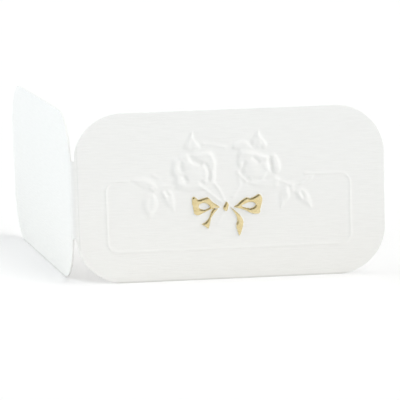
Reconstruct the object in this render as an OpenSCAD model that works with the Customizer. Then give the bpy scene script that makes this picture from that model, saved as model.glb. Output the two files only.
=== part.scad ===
// Folded favour tag: one sheet of heavy paper with two round-cornered leaves, standing half open.
// The front leaf carries a pressed motif of two roses with a foil bow, and a thin pressed frame.
// Units are millimetres. The card stands on its lower edges, centred on the origin.

/* [Leaves] */
// Width of one leaf, from the fold to its free side
leaf_w = 55; // [50:0.5:70]
// Height of the card
leaf_h = 30; // [28:0.5:40]
// Radius of the rounded corners
corner_r = 8.5; // [4:0.5:10]
// Thickness of the paper
sheet_t = 0.35; // [0.3:0.01:0.5]

/* [Fold] */
// Angle between the two leaves
open_angle = 100; // [70:1:140]
// Inner radius of the bend
fold_r = 0.35; // [0.2:0.05:0.8]
// How far the joint runs past the straight part of the side, at each end
joint_over = 0.4; // [0.2:0.05:1]
// Depth of the score pressed along the outside of the fold
score_d = 0.08; // [0.04:0.01:0.12]
// How far the score reaches past the bend on each leaf
score_reach = 0.6; // [0.3:0.05:1.2]

/* [Pressed frame] */
// Distance of the frame from the fold and from the free side
frame_side = 6.1; // [4:0.1:8]
// Distance of the frame from the lower edge
frame_low = 5.5; // [4:0.1:6]
// Distance of the frame from the upper edge
frame_top = 11.9; // [9:0.1:13]
// Radius of the frame's corners, at the middle of its line
frame_r = 1.8; // [0.8:0.1:3]
// Width of the frame's line
frame_line = 0.45; // [0.3:0.05:0.8]
// Height of the frame's line
frame_h = 0.1; // [0.05:0.01:0.15]

/* [Pressed motif] */
// Height of the motif, from the bow's lower tail to the leaf tips
motif_h = 18.7; // [15:0.1:20]
// Height of the silhouettes above the leaf: roses, leaves, stems and bow
low_h = 0.18; // [0.12:0.01:0.22]
// Height of the inner petals and the veins above the leaf
mid_h = 0.34; // [0.26:0.01:0.4]
// Height of the buds and the curled rims above the leaf
high_h = 0.5; // [0.44:0.01:0.6]
// How far the hollow at the back stays inside each pressed shape
press_wall = 0.12; // [0.1:0.01:0.16]

/* [Foil bow] */
// Thickness of the foil
foil_t = 0.05; // [0.03:0.01:0.08]
// How far the pressed bow shows around the foil
foil_edge = 0.06; // [0:0.01:0.1]

/* [Hidden] */
$fn = 48;
// The bend's outer radius, and where it meets each leaf, measured from the corner of the outer faces
bend_r = fold_r + sheet_t;
bend_x = bend_r * tan((180 - open_angle) / 2);
// Height of the joint's two ends
joint_z0 = corner_r - joint_over;
joint_z1 = leaf_h - joint_z0;
// The whole card's reach, which puts its lower face's centre at the origin
x_low = min(leaf_w * cos(open_angle), bend_x - bend_r);
y_high = leaf_w * sin(open_angle) + sheet_t * max(0, -cos(open_angle));
to_origin = [-(x_low + leaf_w) / 2, -(y_high - high_h) / 2, 0];
// The motif is drawn in millimetres at this height, about the middle of the leaf
drawn_h = 18.7;
k = motif_h / drawn_h;
// Where the motif interrupts the frame's upper line
frame_gap = [-17.2, 13.2];
// Steps of a curve between two of its points, and of the bend
curve_steps = 3;
bend_steps = 10;
// How deep a pressed shape starts in the sheet
root = 0.04;
// How far a cutting shape runs past the surface that it cuts, and past its neighbour
past = 1;
lap = 0.1;
// How far below the joint's end the corners' cut starts, and how far the joint's own cut enters a leaf
drop = 0.25;
joint_cut = corner_r - sqrt(pow(corner_r, 2) - pow(joint_over + drop, 2)) + 0.01;

// Roses: outline, heart and bud, then the rims of the outer and the inner petals
rose_left = [
    [-9.3, 1.2], [-7.3, 0.4], [-4.9, 0.9], [-2.9, 1.4], [-2.2, 2.6], [-2.3, 4.2], [-2.0, 5.6],
    [-2.3, 7.0], [-3.3, 7.9], [-4.7, 7.6], [-6.1, 7.5], [-7.5, 7.3], [-8.8, 6.7], [-9.9, 5.7],
    [-10.3, 4.4], [-9.6, 3.3], [-9.8, 2.2]];
heart_left = [
    [-8.4, 3.0], [-7.6, 1.9], [-6.2, 1.7], [-4.6, 2.0], [-3.6, 3.0], [-3.3, 4.6], [-3.7, 5.8],
    [-5.0, 6.4], [-6.6, 6.6], [-8.0, 6.1], [-8.8, 4.9]];
bud_left = [-6.7, 5.2];
outer_rims_left = [
    [[-6.2, 7.0], [-5.0, 7.1], [-3.4, 7.3], [-2.6, 6.5], [-2.4, 5.4], [-2.6, 4.3]],
    [[-8.5, 6.2], [-9.4, 5.4], [-9.8, 4.4], [-9.2, 3.5]],
    [[-9.3, 2.5], [-8.8, 1.6], [-7.3, 1.0], [-5.9, 1.2]]];
inner_rims_left = [
    [[-4.9, 6.0], [-4.0, 5.1], [-3.7, 3.8], [-3.9, 2.8]],
    [[-8.2, 5.6], [-8.5, 4.6], [-8.1, 3.4], [-7.3, 2.4], [-6.3, 2.2]]];
rose_right = [
    [2.5, 2.2], [3.9, 1.3], [5.7, 1.0], [7.5, 1.2], [8.8, 1.8], [8.9, 3.2], [9.2, 4.8], [8.9, 6.2],
    [7.9, 7.0], [6.7, 7.1], [5.4, 7.5], [4.5, 8.7], [3.3, 9.5], [1.7, 9.4], [0.7, 8.5], [1.0, 7.3],
    [1.0, 5.8], [1.1, 4.7], [1.5, 3.4]];
heart_right = [
    [2.6, 3.7], [3.6, 2.6], [5.2, 2.2], [6.8, 2.6], [7.5, 3.8], [7.5, 5.2], [6.9, 6.3], [5.4, 6.9],
    [3.8, 7.1], [2.6, 6.4], [2.2, 5.0]];
bud_right = [4.5, 5.0];
outer_rims_right = [
    [[1.2, 8.4], [2.2, 9.0], [3.2, 9.0], [4.1, 8.3]],
    [[7.7, 6.6], [8.4, 5.9], [8.7, 4.8], [8.5, 3.6]],
    [[1.5, 4.6], [2.2, 3.4], [3.4, 2.2], [4.9, 1.7]]];
inner_rims_right = [
    [[2.6, 6.1], [3.8, 6.8], [5.3, 6.6], [6.7, 6.0]],
    [[2.6, 5.3], [2.5, 4.4], [3.0, 3.6]],
    [[7.1, 5.2], [7.1, 4.1], [6.5, 3.1]]];
bud_r = 1;
rim_line = 0.42;

// Leaves, each from base to tip with half its width; then stems and the tendril between the roses
leaves = [
    [[-6.2, 7.0], [-6.0, 11.3], 1.45],
    [[5.6, 7.0], [5.5, 11.2], 1.3],
    [[-12.3, 0.9], [-16.9, 3.1], 1.15],
    [[-13.1, 0.6], [-14.1, -4.0], 1.35],
    [[-11.3, 1.3], [-9.6, -2.8], 1.2],
    [[10.7, 0.9], [9.1, -3.0], 1.0],
    [[12.2, 0.9], [14.5, -3.3], 1.15],
    [[11.8, 1.0], [14.9, 2.7], 0.95]];
stems = [
    [[-4.9, 1.6], [-3.4, 0.6], [-2.2, -0.6], [-1.2, -1.5]],
    [[-2.3, 3.6], [-2.2, 2.0], [-1.5, 0.6], [-0.6, -0.8]],
    [[1.5, 3.8], [1.7, 2.2], [1.4, 1.0], [0.6, -0.6], [0.1, -1.3]],
    [[-1.0, -3.1], [-1.5, -4.1], [-2.1, -5.1]],
    [[-0.2, -3.1], [0.2, -4.0], [0.6, -4.9]],
    [[-9.2, 2.0], [-10.8, 1.5], [-12.4, 0.9], [-13.4, 0.6]],
    [[8.6, 2.2], [9.8, 1.5], [11.2, 1.0], [12.5, 0.8]]];
stem_line = 0.5;
tendril = [[-3.6, 8.9], [-2.2, 9.0], [-0.6, 8.7], [1.2, 8.6]];
tendril_line = 0.34;
vein_line = 0.26;
// Ends of a vein, as parts of its leaf's length
vein_from = 0.08;
vein_to = 0.86;

// Bow: each loop with its eye, each tail, and the knot
loop_left = [
    [-1.6, -2.2], [-2.9, -1.1], [-3.6, -0.35], [-4.5, -0.45], [-5.3, -0.65], [-5.9, -0.2],
    [-6.4, -0.3], [-6.5, -1.2], [-6.3, -2.2], [-6.2, -3.1], [-5.5, -3.5], [-4.5, -3.1], [-3.1, -2.5]];
eye_left = [
    [-3.4, -2.05], [-3.9, -1.5], [-4.6, -1.35], [-5.2, -1.65], [-5.2, -2.15], [-4.7, -2.4], [-3.9, -2.4]];
tail_left = [
    [-1.9, -2.4], [-2.6, -2.3], [-3.2, -3.0], [-3.6, -4.0], [-4.2, -4.7], [-4.9, -5.1], [-4.3, -5.5],
    [-3.7, -5.9], [-3.35, -4.9], [-3.1, -4.0], [-2.5, -3.1]];
loop_right = [
    [0.9, -2.25], [2.0, -2.6], [2.9, -2.95], [3.7, -3.4], [4.5, -3.65], [5.4, -3.5], [5.6, -2.5],
    [5.9, -1.4], [5.8, -0.5], [5.3, -0.1], [4.5, -0.5], [3.8, -0.75], [3.1, -0.6], [2.1, -1.2],
    [1.5, -1.75]];
eye_right = [
    [2.3, -2.1], [2.9, -2.4], [3.8, -2.55], [4.5, -2.25], [4.6, -1.8], [3.9, -1.5], [2.9, -1.75]];
tail_right = [
    [0.2, -2.2], [0.8, -3.1], [1.25, -3.9], [1.4, -4.7], [1.15, -5.4], [1.25, -6.1], [1.7, -7.4],
    [2.2, -6.4], [2.5, -5.2], [2.4, -4.5], [2.0, -3.8], [1.4, -3.2], [0.8, -2.6]];
knot = [[0.0, -1.75], [-0.45, -1.25], [-1.0, -2.2], [-0.85, -2.8], [-0.3, -2.85]];
// Grooves at the back of the bow, one round each loop and one down each tail
bow_grooves = [
    [[-2.3, -1.95], [-3.4, -1.2], [-4.4, -0.9], [-5.6, -1.0], [-5.85, -1.9], [-5.4, -2.9], [-4.3, -2.75], [-3.2, -2.3]],
    [[1.6, -2.0], [2.3, -1.5], [3.2, -1.15], [4.3, -1.1], [5.15, -1.3], [5.2, -2.3], [4.7, -3.0], [3.7, -2.95], [2.7, -2.6]],
    [[-2.7, -2.85], [-3.2, -3.6], [-3.6, -4.5], [-3.95, -5.3]],
    [[0.9, -2.9], [1.6, -3.9], [1.9, -4.8], [1.7, -5.8], [1.7, -6.6]]];
bow_groove = 0.3;

// Curves: smooth lines through points, the outward move of an outline, and unit directions
function near(p, i) = p[(i + len(p)) % len(p)];
function held(p, i) = p[max(0, min(len(p) - 1, i))];
function blend(a, b, c, d, t) =
    0.5 * (2 * b + (c - a) * t + (2 * a - 5 * b + 4 * c - d) * pow(t, 2) + (3 * b - a - 3 * c + d) * pow(t, 3));
function round_curve(p) = [
    for (i = [0 : len(p) - 1])
        for (s = [0 : curve_steps - 1])
            blend(near(p, i - 1), p[i], near(p, i + 1), near(p, i + 2), s / curve_steps)];
function open_curve(p) = [
    for (i = [0 : (len(p) - 1) * curve_steps])
        let (j = min(floor(i / curve_steps), len(p) - 2))
            blend(held(p, j - 1), p[j], p[j + 1], held(p, j + 2), i / curve_steps - j)];
function side_of(a, b) = [a[1] - b[1], b[0] - a[0]] / norm(b - a);
function moved_out(p, d) = [for (i = [0 : len(p) - 1]) p[i] - d * side_of(near(p, i - 1), near(p, i + 1))];
function moved_side(p, d) = [for (i = [0 : len(p) - 1]) p[i] + d * side_of(held(p, i - 1), held(p, i + 1))];
function reversed(p) = [for (i = [len(p) - 1 : -1 : 0]) p[i]];

// A shape with a smooth outline, its points listed anticlockwise, moved out by grow
module blob(points, grow) {
    polygon(moved_out(k * round_curve(points), grow));
}

// A line of even width along a smooth path
module stroke(points, line, grow) {
    path = k * open_curve(points);
    half = k * line / 2 + grow;
    polygon(concat(moved_side(path, -half), reversed(moved_side(path, half))));
}

// A pointed leaf between two arcs
module pointed(base, tip, half, grow) {
    long = k * norm(tip - base) / 2;
    wide = k * half;
    r = (pow(long, 2) + pow(wide, 2)) / (2 * wide);
    turn = atan2(tip[1] - base[1], tip[0] - base[0]);
    translate(k * (base + tip) / 2) rotate(turn) intersection() {
        translate([0, wide - r]) circle(r + grow, $fn = 96);
        translate([0, r - wide]) circle(r + grow, $fn = 96);
    }
}

module bow(grow) {
    difference() {
        union() {
            blob(loop_left, grow);
            blob(tail_left, grow);
        }
        blob(eye_left, -grow);
    }
    difference() {
        union() {
            blob(loop_right, grow);
            blob(tail_right, grow);
        }
        blob(eye_right, -grow);
    }
    blob(knot, grow);
}

// Silhouettes of the flowers, leaves and stems
module low_shapes(grow) {
    blob(rose_left, grow);
    blob(rose_right, grow);
    for (l = leaves) pointed(l[0], l[1], l[2], grow);
    for (s = stems) stroke(s, stem_line, grow);
    stroke(tendril, tendril_line, grow);
}

// Inner petals and outer rims
module mid_shapes(grow) {
    blob(heart_left, grow);
    blob(heart_right, grow);
    for (s = concat(outer_rims_left, outer_rims_right)) stroke(s, rim_line, grow);
}

module veins() {
    for (l = leaves) {
        from = l[0] + vein_from * (l[1] - l[0]);
        to = l[0] + vein_to * (l[1] - l[0]);
        stroke([from, (from + to) / 2, to], vein_line, 0);
    }
}

// Buds and inner rims
module high_shapes(grow) {
    translate(k * bud_left) circle(k * bud_r + grow);
    translate(k * bud_right) circle(k * bud_r + grow);
    for (s = concat(inner_rims_left, inner_rims_right)) stroke(s, rim_line, grow);
}

module round_rect(size, r) {
    translate([r, 0]) square([size[0] - 2 * r, size[1]]);
    translate([0, r]) square([size[0], size[1] - 2 * r]);
    for (x = [r, size[0] - r]) for (y = [r, size[1] - r]) translate([x, y]) circle(r);
}

// The pressed frame, open where the motif stands in its upper line
module frame_shape() {
    wide = leaf_w - 2 * frame_side;
    high = leaf_h - frame_low - frame_top;
    half = frame_line / 2;
    difference() {
        translate([frame_side - half, frame_low - half])
            round_rect([wide + frame_line, high + frame_line], frame_r + half);
        translate([frame_side + half, frame_low + half])
            round_rect([wide - frame_line, high - frame_line], frame_r - half);
        translate([leaf_w / 2 + k * frame_gap[0], frame_low + high / 2])
            square([k * (frame_gap[1] - frame_gap[0]), high]);
    }
}

// Sets a flat drawing upright on the front leaf, from a depth in the sheet out to a height
module upright(from, to) {
    translate([0, -from, 0]) rotate([90, 0, 0]) linear_extrude(to - from) children();
}

module at_middle() {
    translate([leaf_w / 2, leaf_h / 2]) children();
}

// A point of the front leaf's plan, carried over to the back leaf
function to_back(p) = [
    p[0] * cos(open_angle) + p[1] * sin(open_angle),
    p[0] * sin(open_angle) - p[1] * cos(open_angle)];

// The line that runs along the front leaf, round the bend and along the back leaf at one depth
function bent_line(depth, reach) = concat(
    [[bend_x + reach, depth]],
    [for (i = [0 : bend_steps])
        let (a = 270 - i * (180 - open_angle) / bend_steps)
            [bend_x, bend_r] + (bend_r - depth) * [cos(a), sin(a)]],
    [to_back([bend_x + reach, depth])]);

// A band that follows the fold at an even thickness, between two depths from the outside
module bent_band(from, to, reach) {
    polygon(concat(bent_line(from, reach), reversed(bent_line(to, reach))));
}

module back_side() {
    rotate([0, 0, open_angle]) mirror([0, 1, 0]) children();
}

// What the die cuts away at the corners of one leaf, seen from the front
module corner_waste() {
    for (low = [true, false]) {
        translate([0, low ? 0 : leaf_h]) mirror([0, low ? 0 : 1]) {
            difference() {
                translate([bend_x - lap, -past]) square([corner_r + lap, joint_z0 - drop + past]);
                translate([bend_x + corner_r, corner_r]) circle(corner_r, $fn = 96);
            }
            difference() {
                translate([leaf_w - corner_r, -past]) square([corner_r + past, corner_r + past]);
                translate([leaf_w - corner_r, corner_r]) circle(corner_r, $fn = 96);
            }
        }
    }
}

// What the die cuts away at the bend, below and above the joint
module bend_waste() {
    far = 3 * (bend_r + past);
    inside = (1 + joint_cut / bend_x) * [bend_x, bend_r];
    middle = (open_angle + 360) / 2;
    for (z = [-past, joint_z1]) {
        translate([0, 0, z]) linear_extrude(joint_z0 + past) polygon([
            inside,
            inside + far * [cos(90 + open_angle), sin(90 + open_angle)],
            inside + 2 * far * [cos(middle), sin(middle)],
            inside + far * [cos(270), sin(270)]]);
    }
}

// The cut and folded sheet before it is pressed
module sheet() {
    difference() {
        linear_extrude(leaf_h) bent_band(0, sheet_t, leaf_w - bend_x);
        upright(-sheet_t - lap, past) corner_waste();
        back_side() upright(-sheet_t - lap, past) corner_waste();
        bend_waste();
        translate([0, 0, joint_z0]) linear_extrude(joint_z1 - joint_z0) bent_band(-past, score_d, score_reach);
    }
}

// One sheet: leaves and joint, with the motif and frame raised in front and hollow behind
module card() {
    color("white") translate(to_origin) difference() {
        union() {
            sheet();
            upright(-root, frame_h) frame_shape();
            upright(-root, low_h) at_middle() {
                low_shapes(0);
                bow(foil_edge);
            }
            upright(-root, mid_h) at_middle() {
                mid_shapes(0);
                veins();
            }
            upright(-root, high_h) at_middle() high_shapes(0);
        }
        upright(-sheet_t - past, low_h - sheet_t) at_middle() {
            low_shapes(-press_wall);
            for (s = bow_grooves) stroke(s, bow_groove, 0);
        }
        upright(-sheet_t - past, mid_h - sheet_t) at_middle() mid_shapes(-press_wall);
        upright(-sheet_t - past, high_h - sheet_t) at_middle() high_shapes(-press_wall);
    }
}

// Stamped foil on the raised bow
module foil_bow() {
    color("gold") translate(to_origin) upright(low_h, low_h + foil_t) at_middle() bow(0);
}

card();
foil_bow();
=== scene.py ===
"""Folded favor tag of white felt-marked paper, with a pressed rose motif and a foil bow."""

import math

import bpy
import numpy as np
from mathutils import Euler, Matrix


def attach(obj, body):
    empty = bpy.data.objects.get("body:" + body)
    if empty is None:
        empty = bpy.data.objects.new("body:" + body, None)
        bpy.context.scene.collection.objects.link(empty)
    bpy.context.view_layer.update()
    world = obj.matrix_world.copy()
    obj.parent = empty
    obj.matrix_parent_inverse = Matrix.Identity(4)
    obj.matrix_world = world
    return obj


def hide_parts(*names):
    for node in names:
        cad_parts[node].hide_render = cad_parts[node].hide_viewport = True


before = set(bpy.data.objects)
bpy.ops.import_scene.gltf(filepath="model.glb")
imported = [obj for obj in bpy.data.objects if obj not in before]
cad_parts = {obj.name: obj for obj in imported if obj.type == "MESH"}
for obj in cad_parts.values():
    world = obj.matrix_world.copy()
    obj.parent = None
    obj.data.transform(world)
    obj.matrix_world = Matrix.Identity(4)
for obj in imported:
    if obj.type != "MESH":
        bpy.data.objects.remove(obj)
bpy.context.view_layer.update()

MM = 0.001

# The card's sizes in millimetres, as in the part's source
LEAF_W = 55.0
LEAF_H = 30.0
CORNER_R = 8.5
SHEET_T = 0.35
OPEN_ANGLE = 100.0
FOLD_R = 0.35
JOINT_OVER = 0.4
SCORE_D = 0.08
SCORE_REACH = 0.6
FRAME_SIDE = 6.1
FRAME_LOW = 5.5
FRAME_TOP = 11.9
FRAME_R = 1.8
FRAME_LINE = 0.45
FRAME_H = 0.1
TO_ORIGIN = (-22.7247, -26.8626)

# The bend, drawn a little rounder than the solid's
FOLD_SOFT = 0.55
BEND_R = FOLD_R + SHEET_T + FOLD_SOFT
BEND_TURN = math.radians(180 - OPEN_ANGLE)
BEND_X = BEND_R * math.tan(BEND_TURN / 2)
BEND_LEN = BEND_R * BEND_TURN
EDGE_X = (FOLD_R + SHEET_T) * math.tan(BEND_TURN / 2)
JOINT_Z = CORNER_R - JOINT_OVER
SCORE_SOFT = 0.12

# The frame's line: where its upper side ends, left and right of the leaf's middle, and its soft flank
FRAME_END_LEFT = 17.2
FRAME_END_RIGHT = 13.2
FRAME_FLANK = 0.06
FRAME_TAPER = 0.004

# Limits of the relief: it flattens softly above one height, and no crease goes below another
SOFT_TOP = 0.36
SOFT_BAND = 0.095
LOWEST = -0.03
TO_LIGHT = np.array([0.85, 0.53])
PUFF_FULLNESS = 1.3
LINE_REACH = 2.6
HOLLOW = 0.85
HOLLOW_ROUNDS = 3

# The pressed bow: width over which a band rounds up, its foot, its rise, and the blend round it
BOW_BAND = 0.42
BOW_FOOT = 0.1
BOW_RISE = 0.26
BOW_REACH = 0.03
BOW_BLEND = 0.18
FOIL_HALF = 0.03
FOIL_STEP = 0.075

# The mesh: steps over the motif and over the frame's line, widest steps elsewhere, rim and corners
MOTIF_X = (10.0, 43.2)
MOTIF_X_STEP = 0.14
MOTIF_Z = (7.4, 26.9)
MOTIF_Z_STEP = 0.13
FRAME_Z = (5.0, 7.4)
FRAME_Z_STEP = 0.16
FRAME_X_REACH = 0.5
FRAME_X_PLACES = 11
WIDEST_X = 1.5
WIDEST_Z = 1.2
NEAREST = 0.035
BEVEL = 0.035
NEXT_TO_BEND = 0.06
RELIEF_FROM = 4
EDGE_BAND = 9.0
CORNER_PLACES = 25
BEND_PLACES = 33
INSIDE_UV = 200
UNDERSIDE_UV = 100

# The leaf's middle, from which the bow's outlines are measured
MIDDLE = np.array([LEAF_W / 2, LEAF_H / 2])


def at(points):
    return np.array(points, float) + MIDDLE


def curve(points, closed=False, steps=6):
    """A smooth line through points."""
    p = np.array(points, float)
    n = len(p)
    out = []
    for i in range(n if closed else n - 1):
        if closed:
            a, b, c, d = p[(i - 1) % n], p[i], p[(i + 1) % n], p[(i + 2) % n]
        else:
            a, b, c, d = p[max(i - 1, 0)], p[i], p[i + 1], p[min(i + 2, n - 1)]
        for s in range(steps):
            t = s / steps
            out.append(0.5 * (2 * b + (c - a) * t + (2 * a - 5 * b + 4 * c - d) * t ** 2
                              + (3 * b - a - 3 * c + d) * t ** 3))
    if not closed:
        out.append(p[-1])
    return np.array(out)


def smooth(t):
    t = np.clip(t, 0.0, 1.0)
    return t * t * (3 - 2 * t)


class Sheet:
    """Heights over a set of leaf points."""

    def __init__(self, x, z):
        self.x = np.asarray(x, float).ravel()
        self.z = np.asarray(z, float).ravel()
        self.h = np.zeros(len(self.x))

    def near(self, line, reach):
        """Numbers of the points in the line's box, widened by the reach."""
        low, high = line.min(axis=0) - reach, line.max(axis=0) + reach
        inside = (self.x > low[0]) & (self.x < high[0]) & (self.z > low[1]) & (self.z < high[1])
        return np.nonzero(inside)[0]

    def to_line(self, line, idx):
        """Distance to a line, and the part of its length at the nearest place."""
        x, z = self.x[idx], self.z[idx]
        lengths = np.linalg.norm(np.diff(line, axis=0), axis=1)
        start = np.concatenate([[0.0], np.cumsum(lengths)])
        best = np.full(len(idx), 1e9)
        where = np.zeros(len(idx))
        for i in range(len(line) - 1):
            a = line[i]
            d = line[i + 1] - a
            square = max(d @ d, 1e-12)
            t = np.clip(((x - a[0]) * d[0] + (z - a[1]) * d[1]) / square, 0, 1)
            distance = np.hypot(x - a[0] - t * d[0], z - a[1] - t * d[1])
            better = distance < best
            best = np.where(better, distance, best)
            where = np.where(better, start[i] + t * lengths[i], where)
        return best, where / max(start[-1], 1e-9)

    def to_shape(self, outline, idx):
        """Distance to a closed outline, positive inside."""
        loop = np.vstack([outline, outline[:1]])
        distance, _ = self.to_line(loop, idx)
        x, z = self.x[idx], self.z[idx]
        inside = np.zeros(len(idx), bool)
        for a, b in zip(loop[:-1], loop[1:]):
            cross = (a[1] > z) != (b[1] > z)
            if not cross.any():
                continue
            cross_x = a[0] + (z - a[1]) * (b[0] - a[0]) / (b[1] - a[1] + 1e-15)
            inside ^= cross & (x < cross_x)
        return np.where(inside, distance, -distance)

    def over(self, idx, height, cover):
        """Lays a form over what is there; cover is 1 where it hides it."""
        self.h[idx] = self.h[idx] * (1 - cover) + height * cover

    def ridge(self, line, height, width, taper):
        """Adds a rounded ridge along a line, lower towards its ends."""
        idx = self.near(line, 2 * width)
        distance, part = self.to_line(line, idx)
        fall = np.exp(-(distance / width) ** 2 * 2.0)
        self.h[idx] += height * fall * (smooth(part / taper) * smooth((1 - part) / taper))

    def puff(self, outline, height, shaded, lit):
        """Adds a puffed area. Shaded and lit are the widths of its slopes on these two sides."""
        outline = curve(outline, True)
        idx = self.near(outline, 0.05)
        middle = outline.mean(axis=0)
        across = (outline - middle) @ TO_LIGHT
        place = (self.x[idx] - middle[0]) * TO_LIGHT[0] + (self.z[idx] - middle[1]) * TO_LIGHT[1]
        t = np.clip((place - across.min()) / (across.max() - across.min()), 0, 1)
        rise = np.clip(self.to_shape(outline, idx) / (shaded + (lit - shaded) * t), 0, 1)
        self.h[idx] += height * np.sin(rise * math.pi / 2) ** PUFF_FULLNESS

    def line(self, points, height, width):
        """Adds a rounded rim along a line, or a crease where the height is negative."""
        points = curve(points) if len(points) > 1 else np.array([points[0], points[0]], float)
        idx = self.near(points, LINE_REACH * width)
        distance, _ = self.to_line(points, idx)
        self.h[idx] += height * np.exp(-(distance / width) ** 2)


# The motif's parts, in leaf millimetres: from the fold's corner, and from the lower edge
def left_rose(s):
    # the open flower, and the leaf over it
    s.puff([(17.3, 19.4), (17.8, 18.2), (17.7, 17.2), (18.4, 16.1), (20, 15.7), (21.8, 15.7), (23.4, 15.9),
            (24.6, 16.6), (25.3, 17.6), (25.5, 19.5), (25.5, 20.9), (25, 22.3), (24, 23), (22.6, 22.8),
            (21.3, 22.5), (20.2, 22.6), (18.9, 22.2), (17.9, 21.3)], 0.28, 1.2, 0.7)
    s.puff([(21.45, 26.4), (21.8, 25.3), (22.5, 24.3), (22.9, 23.5), (22.5, 22.9), (21.6, 22.7), (20.4, 22.9),
            (19.7, 23.4), (19.9, 24.3), (20.6, 25.4)], 0.25, 1.1, 0.5)
    # creases between the petals
    s.line([(19.3, 20.9), (19.2, 20.2), (19.5, 19.5)], -0.19, 0.4)
    s.line([(19.8, 18.3), (20.1, 17.7)], -0.32, 0.4)
    s.line([(21.3, 21.6), (21.9, 21), (22.7, 20.6)], -0.32, 0.5)
    s.line([(23.6, 20.4), (24, 19.6), (24.1, 18.6), (24, 17.8)], -0.24, 0.35)
    s.line([(22.7, 17.4), (23, 17.1)], -0.19, 0.35)
    s.line([(19.7, 21.5), (20.1, 21.2)], -0.08, 0.3)
    s.line([(20.9, 21.9), (21.3, 21.2)], -0.1, 0.3)
    s.line([(17.4, 18.4), (18.2, 18.3)], -0.08, 0.35)
    # rims of the petals
    s.line([(21.5, 22.2), (22.8, 22.3), (24.2, 22.4), (24.9, 21.4), (25, 20.2)], 0.1, 0.5)
    s.line([(18.3, 21.2), (18.2, 20.2), (18.3, 19.2)], 0.1, 0.5)
    s.line([(20.4, 20.7), (20.8, 20.5)], 0.2, 0.75)
    s.line([(18.6, 18.2), (18.8, 17.4), (19.6, 17)], 0.1, 0.4)
    s.line([(21.9, 20.4), (22.4, 20)], 0.08, 0.4)
    s.line([(23, 20.2), (23.4, 19.6), (23.5, 18.6)], 0.1, 0.4)
    s.line([(24.9, 18.6), (24.8, 17.2)], 0.1, 0.4)
    s.line([(19.3, 21.9), (20.2, 22.3)], 0.08, 0.3)
    s.line([(20.6, 19), (22.3, 18.8)], 0.08, 0.8)
    # vein of the leaf
    s.line([(21.3, 24.9), (21.2, 23.4)], -0.06, 0.3)


def right_rose(s):
    # the flower, the petal folded over at its upper left, the outer petal, the bowl, and the leaf
    s.puff([(29.1, 21.5), (29, 20.3), (29.5, 19.2), (30.3, 18), (31.3, 17.2), (32.8, 17.3), (34.2, 17.6),
            (35.1, 18.6), (35.2, 20.2), (34.7, 21.6), (33.2, 22.2), (31.6, 22.7), (29.9, 23), (29.2, 22.4)],
           0.28, 1, 0.7)
    s.puff([(28.3, 23), (28.4, 24), (29.2, 24.5), (30.6, 24.6), (31.5, 24), (32, 23), (31.2, 22.7),
            (29.6, 22.7)], 0.18, 0.7, 0.6)
    s.puff([(35, 21.6), (35.8, 22), (36.6, 21), (36.9, 19.8), (36.7, 18.6), (35.9, 18.2), (35.2, 18.8),
            (35, 20.2)], 0.25, 0.7, 0.6)
    s.puff([(29.6, 18.3), (30.6, 17), (31.8, 16.1), (33.6, 15.7), (35.6, 15.8), (36.5, 16.6), (36.5, 17.8),
            (35.3, 18), (33.5, 17.6), (31.8, 17.4), (30.6, 17.9)], 0.16, 1.2, 0.6)
    s.puff([(33, 26.3), (33.5, 25.3), (34.2, 24.4), (34.6, 23.4), (33.9, 22.7), (32.8, 22.7), (31.8, 23.2),
            (31.6, 24.3), (32.1, 25.2)], 0.25, 0.8, 0.5)
    # creases between the petals
    s.line([(30.4, 20.5), (30.1, 19.7), (29.9, 18.9)], -0.19, 0.35)
    s.line([(32.1, 21.3), (32.8, 20.7)], -0.24, 0.35)
    s.line([(34.7, 20.7), (34.9, 20), (35, 19.3)], -0.24, 0.3)
    s.line([(34.5, 18.6), (34.1, 17.7)], -0.19, 0.35)
    s.line([(30.8, 17.7), (31.1, 17.4)], -0.19, 0.35)
    s.line([(31.9, 17.7), (33, 17.6)], -0.1, 0.35)
    # rims of the petals
    s.line([(30, 22.3), (31.4, 22), (32.9, 21.7)], 0.11, 0.5)
    s.line([(29.5, 21.8), (29.4, 20.9), (29.6, 20)], 0.08, 0.35)
    s.line([(31.2, 20.6), (31.8, 19.8), (31.9, 19)], 0.1, 0.8)
    s.line([(33.6, 21.4), (34.3, 21.1)], 0.11, 0.35)
    s.line([(33.9, 20), (34.3, 19.3)], 0.1, 0.4)
    s.line([(29.2, 18.8), (29.9, 18), (30.6, 17.3)], 0.17, 0.33)
    s.line([(28.8, 23.4), (29.8, 23.9), (30.8, 23.7)], 0.11, 0.4)
    s.line([(35.9, 20.6), (36.1, 19.5)], 0.1, 0.45)
    s.line([(35.8, 17.6), (35.9, 16.4)], 0.1, 0.4)
    # creases where the leaf stands on the flower, and the leaf's rib
    s.line([(32.3, 23.4), (32.9, 22.8)], -0.13, 0.35)
    s.line([(33.4, 23.2), (33.5, 22.7)], -0.13, 0.3)
    s.line([(33, 25.2), (33.1, 24)], 0.08, 0.35)


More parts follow.
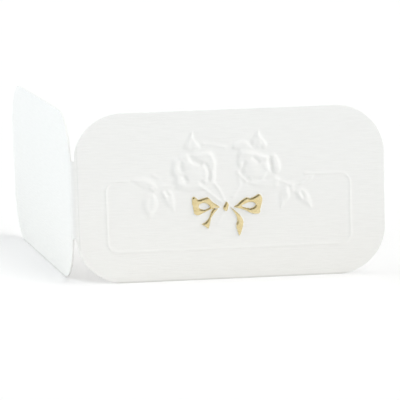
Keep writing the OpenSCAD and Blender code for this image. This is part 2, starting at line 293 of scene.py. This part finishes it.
def left_spray(s):
    # the upper, the lower and the right leaf
    s.puff([(10.3, 18.2), (11.4, 18.6), (12.8, 18.8), (14.1, 18.2), (15.1, 17.1), (15, 16.2), (13.8, 16.1),
            (12.3, 16.7), (11.1, 17.5)], 0.24, 1.2, 0.8)
    s.puff([(14.4, 15.8), (15.1, 14.7), (15.2, 13.4), (14.6, 12.3), (13.5, 11), (12.7, 11.9), (12.1, 13.4),
            (12.3, 15), (13.2, 15.7)], 0.25, 1.4, 0.8)
    s.puff([(16.2, 16.4), (17.2, 16.4), (18, 15.3), (18.2, 13.8), (18, 12.2), (17.1, 12.8), (16.2, 13.7),
            (15.6, 15), (15.6, 15.9)], 0.28, 1.3, 0.8)
    # ribs and veins of the leaves, and the twig to the rose
    s.line([(12.3, 17.6), (13.6, 17)], -0.08, 0.3)
    s.line([(14, 16.6), (14.6, 16)], 0.1, 0.3)
    s.line([(13.9, 15), (13.6, 13.2)], -0.05, 0.3)
    s.line([(16.6, 15.8), (17, 15.2)], -0.19, 0.3)
    s.line([(16, 15.8), (16.4, 15)], 0.11, 0.3)
    s.line([(17, 14.6), (17.5, 13.2)], -0.05, 0.3)
    s.line([(15, 16.6), (16.2, 16.9), (17.6, 16.8)], 0.1, 0.35)
    # a short stroke over the upper leaf
    s.line([(14.4, 18.9), (15.4, 18.3)], 0.06, 0.3)


def right_spray(s):
    # the left, the right and the upper leaf
    s.puff([(38.1, 15.9), (38.4, 14.9), (38.2, 13.8), (37.4, 12.9), (36.6, 11.9), (36.3, 13.2), (36.3, 14.7),
            (36.8, 15.7), (37.5, 16)], 0.25, 1.1, 0.7)
    s.puff([(39.6, 15.8), (40.7, 15.7), (41.6, 14.8), (42.2, 13.2), (42.2, 11.8), (41.2, 12.2), (40.1, 13),
            (39.3, 14), (39.2, 15.1)], 0.27, 1.3, 0.8)
    s.puff([(39.6, 16.2), (40.4, 17.2), (41.4, 17.9), (42.6, 17.8), (42.2, 17), (41.2, 16.4), (40.3, 16)],
           0.14, 0.6, 0.4)
    # ribs and veins of the leaves, and the small buds between them
    s.line([(37.7, 15.3), (37.9, 14.4)], 0.1, 0.35)
    s.line([(37.6, 16)], 0.11, 0.4)
    s.line([(38.7, 15.4)], 0.15, 0.4)
    s.line([(38.9, 16.3)], 0.11, 0.4)
    s.line([(40.3, 14.9), (40.7, 14)], -0.19, 0.3)
    s.line([(39.6, 14.9), (40.2, 13.9)], 0.11, 0.35)
    s.line([(37, 14.6), (37.2, 13.4)], -0.05, 0.3)
    s.line([(40.8, 16.9), (41.6, 17.4)], -0.05, 0.25)
    # the twig from the rose
    s.line([(36.4, 17.2), (37.6, 16.6), (38.6, 16.2)], 0.15, 0.3)


def stems(s):
    # from the left rose to the knot, and the tendril beside its leaf
    s.line([(22.6, 16.6), (23.6, 15.9), (24.8, 14.9), (26.2, 13.7)], 0.13, 0.26)
    s.line([(25.1, 17), (26, 15.6), (26.7, 14)], 0.12, 0.28)
    s.line([(23.4, 24.1), (25.3, 23.8), (27, 23.4)], 0.12, 0.32)
    # from the right rose to the knot
    s.line([(29.4, 17.8), (29.5, 16.8), (29, 15.8), (28.3, 14.6)], 0.1, 0.4)
    # the stem ends under the knot
    s.line([(26.5, 11.9), (26, 10.9), (25.4, 9.9)], 0.03, 0.3)
    s.line([(27.3, 11.9), (27.7, 11), (28.1, 10.1)], 0.03, 0.3)


# The bow's outlines, from the leaf's middle
LOOP_LEFT = at([
    (-1.6, -2.2), (-2.9, -1.1), (-3.6, -0.35), (-4.5, -0.45), (-5.3, -0.65), (-5.9, -0.2),
    (-6.4, -0.3), (-6.5, -1.2), (-6.3, -2.2), (-6.2, -3.1), (-5.5, -3.5), (-4.5, -3.1), (-3.1, -2.5)])
EYE_LEFT = at([
    (-3.4, -2.05), (-3.9, -1.5), (-4.6, -1.35), (-5.2, -1.65), (-5.2, -2.15), (-4.7, -2.4), (-3.9, -2.4)])
TAIL_LEFT = at([
    (-1.9, -2.4), (-2.6, -2.3), (-3.2, -3.0), (-3.6, -4.0), (-4.2, -4.7), (-4.9, -5.1), (-4.3, -5.5),
    (-3.7, -5.9), (-3.35, -4.9), (-3.1, -4.0), (-2.5, -3.1)])
LOOP_RIGHT = at([
    (0.9, -2.25), (2.0, -2.6), (2.9, -2.95), (3.7, -3.4), (4.5, -3.65), (5.4, -3.5), (5.6, -2.5),
    (5.9, -1.4), (5.8, -0.5), (5.3, -0.1), (4.5, -0.5), (3.8, -0.75), (3.1, -0.6), (2.1, -1.2),
    (1.5, -1.75)])
EYE_RIGHT = at([
    (2.3, -2.1), (2.9, -2.4), (3.8, -2.55), (4.5, -2.25), (4.6, -1.8), (3.9, -1.5), (2.9, -1.75)])
TAIL_RIGHT = at([
    (0.2, -2.2), (0.8, -3.1), (1.25, -3.9), (1.4, -4.7), (1.15, -5.4), (1.25, -6.1), (1.7, -7.4),
    (2.2, -6.4), (2.5, -5.2), (2.4, -4.5), (2.0, -3.8), (1.4, -3.2), (0.8, -2.6)])
KNOT = at([(0.0, -1.75), (-0.45, -1.25), (-1.0, -2.2), (-0.85, -2.8), (-0.3, -2.85)])
BOW_BOX = at([(-6.8, -7.8), (6.2, 0.4)])
FOIL_BOX = at([(-7.0, -8.0), (6.4, 0.4)])


def bow_field(s, idx):
    """Distance into the foil bow, its parts taken together."""
    both = []
    for loop, eye, tail in ((LOOP_LEFT, EYE_LEFT, TAIL_LEFT), (LOOP_RIGHT, EYE_RIGHT, TAIL_RIGHT)):
        outer = np.maximum(s.to_shape(curve(loop, True), idx), s.to_shape(curve(tail, True), idx))
        both.append(np.minimum(outer, -s.to_shape(curve(eye, True), idx)))
    both.append(s.to_shape(curve(KNOT, True), idx))
    return np.max(both, axis=0)


def press_bow(s):
    """Lays the bow over the motif, each of its bands rounded across."""
    idx = s.near(BOW_BOX, 0.5)
    d = bow_field(s, idx)
    band = np.clip(d / BOW_BAND, 0, 1)
    height = BOW_FOOT + BOW_RISE * np.sqrt(band * (2 - band))
    s.over(idx, height, smooth((d + BOW_REACH) / BOW_BLEND))


def press_frame(s):
    """The thin frame, open where the motif stands in its upper line."""
    x0, x1 = FRAME_SIDE, LEAF_W - FRAME_SIDE
    z0, z1 = FRAME_LOW, LEAF_H - FRAME_TOP
    arc = [(math.cos(a), math.sin(a)) for a in np.linspace(0, math.pi / 2, 9)]
    r = FRAME_R
    line = [(LEAF_W / 2 - FRAME_END_LEFT, z1)]
    line += [(x0 + r - r * b, z1 - r + r * a) for a, b in arc]
    line += [(x0 + r - r * a, z0 + r - r * b) for a, b in arc]
    line += [(x1 - r + r * b, z0 + r - r * a) for a, b in arc]
    line += [(x1 - r + r * a, z1 - r + r * b) for a, b in arc]
    line += [(LEAF_W / 2 + FRAME_END_RIGHT, z1)]
    s.ridge(np.array(line), FRAME_H, FRAME_LINE / 2 + FRAME_FLANK, FRAME_TAPER)


def press(s):
    """The whole relief of the front leaf."""
    for part in (press_frame, left_rose, right_rose, left_spray, right_spray, stems):
        part(s)
    s.h = np.where(s.h > SOFT_TOP, SOFT_TOP + SOFT_BAND * np.tanh((s.h - SOFT_TOP) / SOFT_BAND), s.h)
    s.h = np.maximum(s.h, LOWEST)
    press_bow(s)


def stations(marks, fill):
    """Sorted places, near doubles dropped and wide gaps filled."""
    places = np.unique(np.concatenate([np.atleast_1d(m) for m in marks]))
    kept = [places[0]]
    for p in places[1:]:
        if p - kept[-1] > NEAREST:
            kept.append(p)
        elif p == places[-1]:
            kept[-1] = p
    out = [kept[0]]
    for p in kept[1:]:
        parts = max(1, int(math.ceil((p - out[-1]) / fill - 1e-6)))
        start = out[-1]
        out += [start + (p - start) * (i + 1) / parts for i in range(parts)]
    return np.array(out)


def leaf_columns(fine):
    """Places across one leaf, from the bend to its free side."""
    turn = np.linspace(0, math.pi / 2, CORNER_PLACES)
    near_fold = EDGE_X + CORNER_R * (1 - np.cos(turn))
    near_end = LEAF_W - CORNER_R * (1 - np.cos(turn))
    beside = BEND_X + NEXT_TO_BEND
    marks = [near_fold[near_fold > beside], near_end, BEND_X, beside, EDGE_X + SCORE_REACH,
             EDGE_X + SCORE_REACH + SCORE_SOFT]
    marks = [np.atleast_1d(m) for m in marks]
    marks = [m[m >= BEND_X - 1e-9] for m in marks]
    if fine:
        for x in (FRAME_SIDE, LEAF_W - FRAME_SIDE):
            marks.append(x + np.linspace(-FRAME_X_REACH, FRAME_X_REACH, FRAME_X_PLACES))
        marks.append(np.arange(*MOTIF_X, MOTIF_X_STEP))
    return stations(marks, WIDEST_X)


def rows():
    """Places up the leaf."""
    marks = [0.0, LEAF_H, np.arange(*FRAME_Z, FRAME_Z_STEP), np.arange(*MOTIF_Z, MOTIF_Z_STEP)]
    return stations(marks, WIDEST_Z)


def ends(x):
    """Lowest point of the sheet at a distance from the corner of the fold; the highest mirrors it."""
    low = np.zeros_like(x)
    for d in (np.minimum(EDGE_X + CORNER_R - x, CORNER_R), x - (LEAF_W - CORNER_R)):
        low = np.where(d > 0, CORNER_R - np.sqrt(np.clip(CORNER_R ** 2 - d ** 2, 0, None)), low)
    return np.minimum(low, np.where(x < LEAF_W / 2, JOINT_Z, CORNER_R))


def squeeze(z, low):
    """Rows near an edge close up where the edge is rounded."""
    out = np.where(z < EDGE_BAND, low + (EDGE_BAND - low) * z / EDGE_BAND, z)
    top = LEAF_H - EDGE_BAND
    return np.where(z > top, top + (LEAF_H - low - top) * (z - top) / EDGE_BAND, out)


def place(s, z, depth):
    """Row-frame point, in metres, of a place along the bent sheet. s is 0 at the middle of the bend."""
    half = BEND_LEN / 2
    front = s >= half
    back = s <= -half
    x = leaf_place(s)
    ca, sa = math.cos(math.radians(OPEN_ANGLE)), math.sin(math.radians(OPEN_ANGLE))
    back_x, back_y = x * ca + depth * sa, x * sa - depth * ca
    a = math.radians(270) - (0.5 - s / BEND_LEN) * BEND_TURN
    bend_x, bend_y = BEND_X + (BEND_R - depth) * np.cos(a), BEND_R + (BEND_R - depth) * np.sin(a)
    px = np.where(front, x, np.where(back, back_x, bend_x)) + TO_ORIGIN[0]
    py = np.where(front, depth, np.where(back, back_y, bend_y)) + TO_ORIGIN[1]
    return np.stack([px, py, z], axis=-1) * MM


def leaf_place(s):
    """Distance from the corner of the fold of a place along the bent sheet."""
    return np.abs(s) - BEND_LEN / 2 + BEND_X


def make_mesh(name, points, faces, uv, kind):
    """A smooth mesh; edges between points of one kind above 0 stay sharp."""
    mesh = bpy.data.meshes.new(name)
    mesh.from_pydata(points.tolist(), [], faces)
    layer = mesh.uv_layers.new(name="leaf")
    index = np.empty(len(mesh.loops), np.int32)
    mesh.loops.foreach_get("vertex_index", index)
    layer.data.foreach_set("uv", uv[index].astype(np.float32).ravel())
    mesh.shade_smooth()
    pair = np.empty(2 * len(mesh.edges), np.int32)
    mesh.edges.foreach_get("vertices", pair)
    kinds = kind[pair.reshape(-1, 2)]
    sharp = (kinds[:, 0] == kinds[:, 1]) & (kinds[:, 0] > 0)
    mesh.edges.foreach_set("use_edge_sharp", sharp)
    piece = bpy.data.objects.new(name, mesh)
    bpy.context.scene.collection.objects.link(piece)
    return piece


def card_grid():
    """Places of the card's grid: along the sheet, and up it."""
    front = leaf_columns(True)
    back = leaf_columns(False)
    half = BEND_LEN / 2
    bend = np.linspace(-half, half, BEND_PLACES)[1:-1]
    s = np.concatenate([-(back[::-1] - BEND_X + half), bend, front - BEND_X + half])
    z = rows()
    low = ends(leaf_place(s))
    return np.repeat(s[:, None], len(z), axis=1), squeeze(z[None, :], low[:, None])


def card_depths(along, up):
    """Depth of the outer and of the inner face, from the flat outer face inwards."""
    x = np.maximum(leaf_place(along), 0)
    relief = np.zeros(along.shape)
    on_front = along[:, 0] > BEND_LEN / 2 + RELIEF_FROM
    pressed = Sheet(x[on_front], up[on_front])
    press(pressed)
    relief[on_front] = pressed.h.reshape(relief[on_front].shape)
    score = SCORE_D * smooth((SCORE_REACH + EDGE_X + SCORE_SOFT / 2 - x) / SCORE_SOFT)
    # the inside shows the same relief, hollow and softer
    soft = relief.copy()
    for _ in range(HOLLOW_ROUNDS):
        soft[1:-1] = (soft[:-2] + 2 * soft[1:-1] + soft[2:]) / 4
        soft[:, 1:-1] = (soft[:, :-2] + 2 * soft[:, 1:-1] + soft[:, 2:]) / 4
    return -relief + score, SHEET_T - HOLLOW * np.clip(soft, 0, None)


def ring(columns, lines):
    """Grid places round the rim, in order."""
    out = [(i, 0) for i in columns]
    out += [(columns[-1], j) for j in lines[1:]]
    out += [(i, lines[-1]) for i in columns[::-1][1:]]
    out += [(columns[0], j) for j in lines[::-1][1:-1]]
    return out


def every_second(count):
    """Every second number below the count, with the last one kept."""
    return np.unique(np.concatenate([np.arange(0, count, 2), [count - 1]]))


def moved_in(rim):
    """The rim's outline, a bevel's width further in."""
    along = np.roll(rim, -1, axis=0) - np.roll(rim, 1, axis=0)
    along /= np.maximum(np.linalg.norm(along, axis=1, keepdims=True), 1e-9)
    return rim + BEVEL * np.stack([-along[:, 1], along[:, 0]], axis=1)


def grid_faces(columns, lines, start=0, inner=False):
    """Faces between the points of a grid; those of the inner face turn the other way."""
    faces = []
    for i in range(columns - 1):
        for j in range(lines - 1):
            a = start + i * lines + j
            face = (a, a + lines, a + lines + 1, a + 1)
            faces.append(face[:1] + face[:0:-1] if inner else face)
    return faces


def build_card():
    along, up = card_grid()
    outside, inside = card_depths(along, up)
    n_i, n_j = along.shape
    loop = ring(range(n_i), range(n_j))
    rim = np.array([(along[i, j], up[i, j]) for i, j in loop])
    along_in, up_in = along.copy(), up.copy()
    for (i, j), p in zip(loop, moved_in(rim)):
        along_in[i, j], up_in[i, j] = p

    # points: the outer face, the rim's outer and inner line, and the coarser inner face
    keep_i, keep_j = every_second(n_i), every_second(n_j)
    sub = np.ix_(keep_i, keep_j)
    outer = place(along_in, up_in, outside).reshape(-1, 3)
    rim_depth = np.array([outside[i, j] for i, j in loop])
    rim_outer = place(rim[:, 0], rim[:, 1], rim_depth + BEVEL)
    rim_inner = place(rim[:, 0], rim[:, 1], np.full(len(rim), SHEET_T - BEVEL))
    inner = place(along_in[sub], up_in[sub], inside[sub]).reshape(-1, 3)
    points = np.vstack([outer, rim_outer, rim_inner, inner])
    start_a = len(outer)
    start_b = start_a + len(rim)
    start_in = start_b + len(rim)
    uv = np.vstack([
        np.stack([along_in.ravel(), up_in.ravel()], axis=1), rim, rim,
        np.stack([along_in[sub].ravel() + INSIDE_UV, up_in[sub].ravel()], axis=1)]) * MM

    m_i, m_j = len(keep_i), len(keep_j)
    faces = grid_faces(n_i, n_j) + grid_faces(m_i, m_j, start_in, inner=True)
    count = len(loop)
    for n in range(count):
        m = (n + 1) % count
        first, second = loop[n][0] * n_j + loop[n][1], loop[m][0] * n_j + loop[m][1]
        faces.append((first, start_a + n, start_a + m, second))
        faces.append((start_a + n, start_b + n, start_b + m, start_a + m))
    # the inner face has fewer rim points, so each of its edges takes in one or two of the rim's
    index = {p: n for n, p in enumerate(loop)}
    coarse = [(int(keep_i[a]), int(keep_j[b])) for a, b in ring(range(m_i), range(m_j))]
    spot = {(int(i), int(j)): start_in + a * m_j + b
            for a, i in enumerate(keep_i) for b, j in enumerate(keep_j)}
    for p, q in zip(coarse, coarse[1:] + coarse[:1]):
        a, b = index[p], index[q]
        run = list(range(a, b + 1)) if b > a else list(range(a, count)) + [0]
        faces.append(tuple([spot[p], spot[q]] + [start_b + n for n in run[::-1]]))

    kind = np.zeros(len(points), np.int8)
    kind[[i * n_j + j for i, j in loop]] = 1
    kind[start_a:start_b] = 2
    kind[start_b:start_in] = 3
    kind[[spot[p] for p in coarse]] = 4
    return make_mesh("paper_card", points, faces, uv, kind)


def foil_patches():
    """Places and polygons of the bow's patches: a fine grid, cut along their outline."""
    low, high = FOIL_BOX
    xs, zs = np.arange(low[0], high[0], FOIL_STEP), np.arange(low[1], high[1], FOIL_STEP)
    grid_x, grid_z = np.meshgrid(xs, zs, indexing="ij")
    grid = Sheet(grid_x, grid_z)
    inside = bow_field(grid, np.arange(len(grid.x))).reshape(grid_x.shape)
    places, polygons, known = [], [], {}

    def corner(p):
        if p not in known:
            known[p] = len(places)
            places.append((xs[p[0]], zs[p[1]]))
        return known[p]

    def crossing(p, q):
        p, q = min(p, q), max(p, q)
        if (p, q) not in known:
            t = inside[p] / (inside[p] - inside[q])
            t = min(max(t, 0.02), 0.98)
            known[(p, q)] = len(places)
            places.append((xs[p[0]] + t * (xs[q[0]] - xs[p[0]]), zs[p[1]] + t * (zs[q[1]] - zs[p[1]])))
        return known[(p, q)]

    hit = (inside > 0).astype(int)
    cells = hit[:-1, :-1] + hit[1:, :-1] + hit[1:, 1:] + hit[:-1, 1:]
    for i, j in zip(*np.nonzero(cells)):
        corners = [(i, j), (i + 1, j), (i + 1, j + 1), (i, j + 1)]
        polygon = []
        for p, q in zip(corners, corners[1:] + corners[:1]):
            if hit[p]:
                polygon.append(corner(p))
            if hit[p] != hit[q]:
                polygon.append(crossing(p, q))
        if len(polygon) > 2:
            polygons.append(tuple(polygon))
    return np.array(places), polygons


def make_foil():
    """A thin closed skin over the pressed bow, cut to its outline."""
    flat, polygons = foil_patches()
    relief = Sheet(flat[:, 0], flat[:, 1])
    press(relief)
    s = flat[:, 0] - BEND_X + BEND_LEN / 2
    top = place(s, flat[:, 1], -relief.h - FOIL_HALF)
    low = place(s, flat[:, 1], -relief.h + FOIL_HALF)
    n = len(flat)
    faces = polygons + [tuple(v + n for v in polygon[::-1]) for polygon in polygons]
    edges = {}
    for polygon in polygons:
        for p, q in zip(polygon, polygon[1:] + polygon[:1]):
            edges[(p, q)] = True
    outer = [(p, q) for p, q in edges if (q, p) not in edges]
    faces += [(q, p, p + n, q + n) for p, q in outer]
    uv = np.vstack([flat, flat + UNDERSIDE_UV]) * MM
    kind = np.zeros(2 * n, np.int8)
    rim = np.array([v for edge in outer for v in edge])
    kind[rim] = 1
    kind[rim + n] = 2
    return make_mesh("bow_foil", np.vstack([top, low]), faces, uv, kind)


class Nodes:
    """Short calls for a material's or the world's node tree."""

    def __init__(self, owner):
        owner.use_nodes = True
        self.tree = owner.node_tree
        self.tree.nodes.clear()

    def give(self, socket, value):
        if isinstance(value, bpy.types.NodeSocket):
            self.tree.links.new(value, socket)
        else:
            socket.default_value = value

    def add(self, kind, values=None, **props):
        node = self.tree.nodes.new(kind)
        for name, value in props.items():
            setattr(node, name, value)
        for name, value in (values or {}).items():
            self.give(node.inputs[name], value)
        return node

    def math(self, operation, a, b=0.0, c=0.0):
        return self.add("ShaderNodeMath", {0: a, 1: b, 2: c}, operation=operation).outputs[0]

    def total(self, *parts):
        """Sum of values, each given with its share."""
        shares = [self.math("MULTIPLY", value, share) for value, share in parts]
        result = shares[0]
        for share in shares[1:]:
            result = self.math("ADD", result, share)
        return result

    def mix(self, factor, a, b, blend="MIX"):
        node = self.add("ShaderNodeMix", {"Factor": factor}, data_type="RGBA", blend_type=blend)
        for name, value in (("A", a), ("B", b)):
            self.give([i for i in node.inputs if i.name == name and i.type == "RGBA"][0], value)
        return [o for o in node.outputs if o.type == "RGBA"][0]

    def ramp(self, factor, stops):
        """Colours or greys between stops, each given as a place and a value."""
        node = self.add("ShaderNodeValToRGB", {"Fac": factor})
        ramp = node.color_ramp
        while len(ramp.elements) < len(stops):
            ramp.elements.new(0.5)
        for element, (spot, value) in zip(ramp.elements, stops):
            element.position = spot
            element.color = (*value, 1) if isinstance(value, tuple) else (value, value, value, 1)
        return node.outputs["Color"]

    def leaf_uv(self):
        return self.add("ShaderNodeUVMap", uv_map="leaf").outputs["UV"]

    def noise(self, uv, scale, detail, roughness, offset=(0, 0, 0), turn=0.0):
        """Noise with so many marks to a metre along the leaf and up it."""
        spread = self.add("ShaderNodeMapping", {
            "Vector": uv, "Scale": (*scale, 1), "Location": offset, "Rotation": (0, 0, turn)})
        return self.add("ShaderNodeTexNoise", {
            "Vector": spread.outputs["Vector"], "Scale": 1.0, "Detail": detail,
            "Roughness": roughness}).outputs["Fac"]

    def bump(self, height, strength, distance):
        node = self.add("ShaderNodeBump", {"Height": height, "Strength": strength, "Distance": distance})
        return node.outputs["Normal"]


# Noise of the paper and the foil, in marks per metre along the leaf and up it
FELT_STREAKS = (420, 4200)
FELT_BROAD = (330, 3000)
PAPER_TOOTH = (5200, 6400)
FOIL_WAVES = (900, 1500)
FOIL_GRAIN = (4200, 5200)

# Paper white with painted shade, from the lower edge to the upper one: a thin dark band of painted contact
# shade at the foot, then painted shade that grows lighter towards the top; part of the leaf's height, and
# colour
PAPER_WHITE_WITH_PAINTED_SHADE = [(0.0, (0.70, 0.695, 0.67)), (0.012, (0.92, 0.92, 0.895)),
               (0.45, (0.93, 0.935, 0.92)), (1.0, (0.94, 0.95, 0.94))]
FELT_TONES = [(0.32, 0.978), (0.68, 1.0)]
FELT_SHARE = 0.6
BROAD_SHARE = 0.25
TOOTH_SHARE = 0.18
FELT_BUMP = 0.8
FELT_DEPTH = 0.00009
PAPER_ROUGHNESS = 0.82
PAPER_SHEEN = 0.25
WAVES_SHARE = 0.8
GRAIN_SHARE = 0.15
FOIL_BUMP = 0.5
FOIL_DEPTH = 0.00008
FOIL_TONES = [(0.3, (0.76, 0.62, 0.32)), (0.7, (0.83, 0.71, 0.43))]
FOIL_ROUGHNESS = [(0.3, 0.22), (0.7, 0.36)]
FLOOR_TONE = (0.8, 0.8, 0.8, 1)
FLOOR_LIFT = 0.19
FLOOR_REACH = 6.0


def paper_material():
    """White paper with a felt mark: short streaks along the leaf, over a finer tooth; its colour carries
    painted shade, a dark band at the foot and a gradient lighter towards the top.
    """
    material = bpy.data.materials.new("felt_paper")
    n = Nodes(material)
    uv = n.leaf_uv()
    streaks = n.noise(uv, FELT_STREAKS, 3.0, 0.6, turn=0.01)
    broad = n.noise(uv, FELT_BROAD, 2.0, 0.5, offset=(3, 1, 0), turn=-0.015)
    tooth = n.noise(uv, PAPER_TOOTH, 2.0, 0.6)
    felt = n.total((streaks, FELT_SHARE), (broad, BROAD_SHARE), (tooth, TOOTH_SHARE))
    normal = n.bump(felt, FELT_BUMP, FELT_DEPTH)
    # painted shade: the ramp by height darkens the paper's foot and lightens it towards the top
    up = n.add("ShaderNodeSeparateXYZ", {"Vector": uv}).outputs["Y"]
    height = n.math("MULTIPLY", up, 1 / (LEAF_H * MM))
    tone_with_painted_shade = n.mix(1.0, n.ramp(height, PAPER_WHITE_WITH_PAINTED_SHADE), n.ramp(broad, FELT_TONES), "MULTIPLY")
    shader = n.add("ShaderNodeBsdfPrincipled", {
        "Base Color": tone_with_painted_shade, "Roughness": PAPER_ROUGHNESS, "Specular IOR Level": PAPER_SHEEN,
        "Normal": normal})
    n.add("ShaderNodeOutputMaterial", {"Surface": shader.outputs["BSDF"]})
    return material


def foil_material():
    """Stamped gold foil, slightly uneven because it follows the paper."""
    material = bpy.data.materials.new("gold_foil")
    n = Nodes(material)
    uv = n.leaf_uv()
    waves = n.noise(uv, FOIL_WAVES, 2.0, 0.5)
    grain = n.noise(uv, FOIL_GRAIN, 2.0, 0.6)
    normal = n.bump(n.total((waves, WAVES_SHARE), (grain, GRAIN_SHARE)), FOIL_BUMP, FOIL_DEPTH)
    shader = n.add("ShaderNodeBsdfPrincipled", {
        "Base Color": n.ramp(waves, FOIL_TONES), "Metallic": 1.0, "Roughness": n.ramp(grain, FOIL_ROUGHNESS),
        "Normal": normal})
    n.add("ShaderNodeOutputMaterial", {"Surface": shader.outputs["BSDF"]})
    return material


def floor_material():
    """White to the camera, with the card's soft shadow kept; an even pale floor to the light."""
    material = bpy.data.materials.new("white_floor")
    n = Nodes(material)
    path = n.add("ShaderNodeLightPath").outputs
    seen = n.math("MAXIMUM", path["Is Camera Ray"], path["Is Glossy Ray"])
    seen = n.math("MAXIMUM", seen, path["Is Transmission Ray"])
    plain = n.add("ShaderNodeBsdfDiffuse", {"Color": FLOOR_TONE})
    lift = n.add("ShaderNodeEmission", {"Color": (1, 1, 1, 1), "Strength": FLOOR_LIFT})
    both = n.add("ShaderNodeAddShader", {0: plain.outputs[0], 1: lift.outputs[0]})
    mixed = n.add("ShaderNodeMixShader", {0: seen, 1: plain.outputs[0], 2: both.outputs[0]})
    n.add("ShaderNodeOutputMaterial", {"Surface": mixed.outputs[0]})
    return material


# Lamps: name, direction from the card, strength, width in degrees, and colour
LAMPS = [
    ("key", (0.65, -0.61, 0.50), 1.37, 60, (1.0, 0.99, 0.97)),
    ("top", (0.24, 0.05, 1.0), 0.51, 30, (1.0, 0.985, 0.95)),
    ("fill", (-0.93, 0.16, 0.42), 1.59, 50, (0.93, 0.975, 1.0))]

# The world's light, bright from low on the right to darker above, and what the foil mirrors of it
WORLD_TONES = [(0.15, 0.59), (0.75, 0.425)]
MIRROR_TONES = [(0.0, 1.25), (0.3, 0.85), (0.62, 0.13), (1.0, 0.05)]

# The photograph's viewpoint: place in metres, angles in degrees, lens and film width in millimetres
CAMERA_SPOT = (-0.03306, -0.46937, 0.0887)
CAMERA_TILT = 80.467
CAMERA_ROLL = 1.697
CAMERA_TURN = -4.524
CAMERA_LENS = 231.55
CAMERA_FILM = 36
CAMERA_NEAR = 0.01
CAMERA_FAR = 20


def sun(name, towards, strength, width, colour):
    """A soft distant lamp that stands in a direction from the card."""
    data = bpy.data.lights.new(name, "SUN")
    data.energy = strength
    data.angle = math.radians(width)
    data.color = colour
    lamp = bpy.data.objects.new(name, data)
    bpy.context.scene.collection.objects.link(lamp)
    z = np.array(towards, float)
    z /= np.linalg.norm(z)
    x = np.cross((0, 0, 1), z)
    x /= np.linalg.norm(x)
    y = np.cross(z, x)
    lamp.matrix_world = Matrix([(x[i], y[i], z[i], 0) for i in range(3)] + [(0, 0, 0, 1)])
    lamp.visible_glossy = False


def make_world():
    world = bpy.data.worlds.new("studio")
    bpy.context.scene.world = world
    n = Nodes(world)
    direction = n.add("ShaderNodeTexCoord").outputs["Generated"]
    parts = n.add("ShaderNodeSeparateXYZ", {"Vector": direction}).outputs
    rise = n.math("MULTIPLY_ADD", parts["Z"], 1.1, n.math("MULTIPLY", parts["X"], -0.55))
    side = n.math("MULTIPLY_ADD", parts["Z"], 0.9, n.math("MULTIPLY_ADD", parts["X"], -0.75, 0.3))
    light = n.ramp(rise, WORLD_TONES)
    mirrored = n.ramp(side, MIRROR_TONES)
    glossy = n.add("ShaderNodeLightPath").outputs["Is Glossy Ray"]
    shade = n.add("ShaderNodeBackground", {"Color": n.mix(glossy, light, mirrored), "Strength": 1.0})
    n.add("ShaderNodeOutputWorld", {"Surface": shade.outputs[0]})


def make_camera():
    data = bpy.data.cameras.new("camera")
    data.sensor_width = CAMERA_FILM
    data.lens = CAMERA_LENS
    data.clip_start = CAMERA_NEAR
    data.clip_end = CAMERA_FAR
    camera = bpy.data.objects.new("camera", data)
    bpy.context.scene.collection.objects.link(camera)
    turn = Euler([math.radians(a) for a in (CAMERA_TILT, CAMERA_ROLL, CAMERA_TURN)])
    camera.matrix_world = Matrix.Translation(CAMERA_SPOT) @ turn.to_matrix().to_4x4()
    bpy.context.scene.camera = camera


def make_floor():
    mesh = bpy.data.meshes.new("floor")
    e = FLOOR_REACH
    mesh.from_pydata([(-e, -e, 0), (e, -e, 0), (e, e, 0), (-e, e, 0)], [], [(0, 1, 2, 3)])
    floor = bpy.data.objects.new("floor", mesh)
    bpy.context.scene.collection.objects.link(floor)
    mesh.materials.append(floor_material())


bpy.context.scene.view_settings.view_transform = "Standard"
make_camera()

card = build_card()
card.data.materials.append(paper_material())
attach(card, "root")
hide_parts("card")

foil = make_foil()
foil.data.materials.append(foil_material())
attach(foil, "root")
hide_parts("foil_bow")

make_floor()
make_world()
for lamp in LAMPS:
    sun(*lamp)
